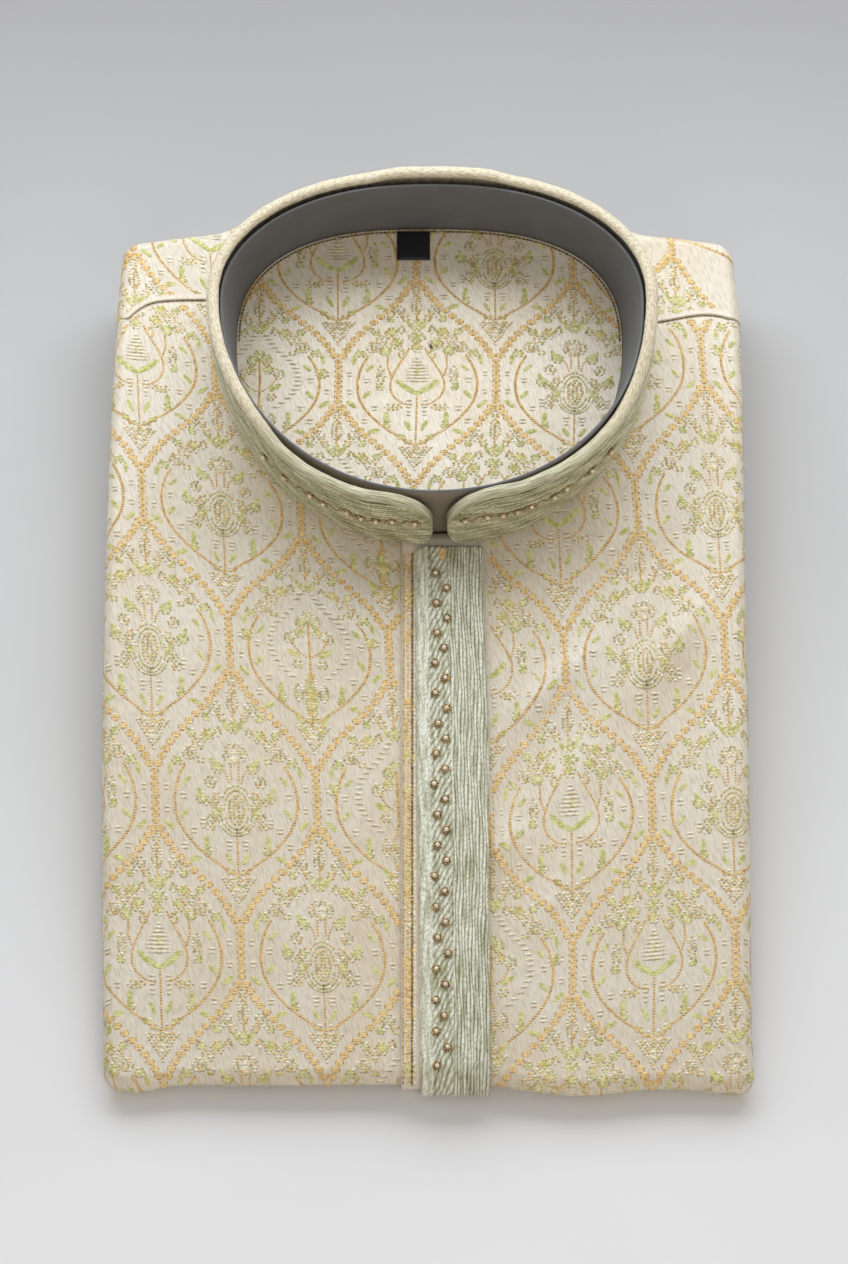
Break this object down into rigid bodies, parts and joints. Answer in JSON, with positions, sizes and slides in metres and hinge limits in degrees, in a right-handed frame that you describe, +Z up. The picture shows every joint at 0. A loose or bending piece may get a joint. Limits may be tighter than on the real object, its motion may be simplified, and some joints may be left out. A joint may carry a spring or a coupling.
{
  "type": "folded kurta with collar support band",
  "caption": "Folded brocade kurta lying flat, with a threadwork placket and an open stand collar round a plain support band.",
  "frame": {"origin": "centre of the footprint, on the surface the kurta lies on", "axes": "+Z up, +Y from the front fold towards the collar, +X towards the wearer's left"},
  "size_m": [0.2334, 0.3588, 0.0853],
  "materials": {
    "brocade": "woven silk brocade, warm ivory ground with gold, green and cream floats",
    "threadwork": "corded mint threadwork on cloth",
    "support": "plain matt grey band",
    "label": "blank black woven tape"
  },
  "bodies": {
    "root": {"folded_layers": "brocade", "front_right": "brocade", "front_left": "brocade", "back_yoke": "brocade", "back_inner": "brocade", "collar_outer": "threadwork", "collar_inner": "brocade", "collar_support": "support", "placket_band": "threadwork", "neck_label": "label"}
  },
  "joints": []
}
